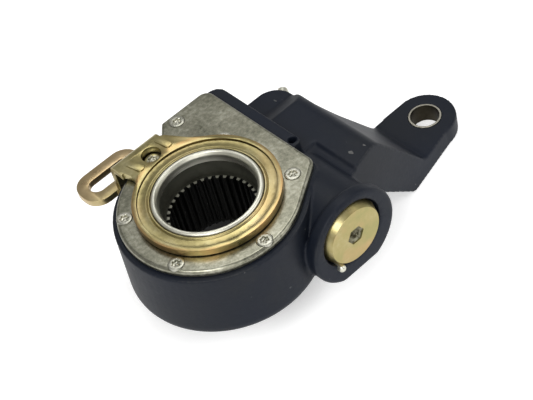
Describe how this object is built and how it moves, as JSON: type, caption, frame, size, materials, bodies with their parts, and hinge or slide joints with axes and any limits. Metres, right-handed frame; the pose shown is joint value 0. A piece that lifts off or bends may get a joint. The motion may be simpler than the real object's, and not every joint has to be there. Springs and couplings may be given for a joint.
{
  "type": "brake slack adjuster",
  "caption": "Automatic brake slack adjuster: round cast body with splined worm wheel, cover plate, control arm, worm drive behind a screwed end cap, and a cranked arm with a bushed clevis eye.",
  "frame": {"origin": "on the spline bore's axis, level with the outer face of the cover plate", "axes": "+Z along the bore out of the cover plate, +X along the arm to the clevis eye, -Y to the end cap of the worm"},
  "size_m": [0.186, 0.1201, 0.0687],
  "materials": {
    "cast_paint": "satin paint on a casting",
    "zinc": "dull zinc",
    "gold_zinc": "yellow passivated zinc",
    "bright_steel": "bright",
    "dark_steel": "oiled steel",
    "rubber": "matt"
  },
  "bodies": {
    "body": {"housing": "cast_paint", "clevis_bush": "bright_steel", "grease_nipple": "zinc", "cover_plate": "zinc", "cover_gasket": "rubber", "cover_screws": "zinc", "end_cap": "gold_zinc", "cap_o_ring": "rubber", "lock_pin": "bright_steel", "strong_spring": "dark_steel", "spring_seat": "bright_steel", "thrust_bearing": "bright_steel", "pinion_washer": "bright_steel", "shaft_seal": "rubber", "lower_wheel_seal": "rubber", "rack_spring": "dark_steel"},
    "wheel": {"worm_wheel": "dark_steel", "bore_rim": "bright_steel", "upper_wheel_seal": "rubber"},
    "worm": {"worm_shaft": "dark_steel", "clutch_wheel": "bright_steel"},
    "gear": {"pinion": "bright_steel", "clutch_spring": "dark_steel"},
    "rack_bar": {"rack": "bright_steel"},
    "control_unit": {"control_arm": "gold_zinc", "control_hub": "gold_zinc", "control_disc": "bright_steel"},
    "valve_ball": {"nipple_ball": "bright_steel"}
  },
  "joints": [
    {"name": "wheel_spin", "type": "hinge", "parent": "body", "child": "wheel", "pos_m": [0, 0, -0.021], "axis": [0, 0, 1], "continuous": true},
    {"name": "worm_spin", "type": "hinge", "parent": "body", "child": "worm", "pos_m": [0.035, 0, -0.021], "axis": [0, 1, 0], "continuous": true},
    {"name": "control_swing", "type": "hinge", "parent": "body", "child": "control_unit", "pos_m": [0, 0, 0], "axis": [0, 0, 1], "range_deg": [0, 11]},
    {"name": "rack_slide", "type": "slide", "parent": "body", "child": "rack_bar", "axis": [1, 0, 0], "range_m": [-0.006, 0], "deforming": ["rack_spring"]},
    {"name": "pinion_spin", "type": "hinge", "parent": "body", "child": "gear", "pos_m": [0.035, 0.0302, -0.021], "axis": [0, 1, 0], "range_deg": [-38, 0]},
    {"name": "ball_slide", "type": "slide", "parent": "body", "child": "valve_ball", "axis": [-0.6571, -0.6346, -0.4068], "range_m": [0, 0.0012], "stiffness_N_per_m": 200, "springref_m": -0.001}
  ],
  "couplings": [
    {"joint": "worm_spin", "follows": "wheel_spin", "ratio": -24},
    {"joint": "rack_slide", "follows": "control_swing", "m_per_rad": -0.0302},
    {"joint": "pinion_spin", "follows": "control_swing", "ratio": -3.3556}
  ]
}
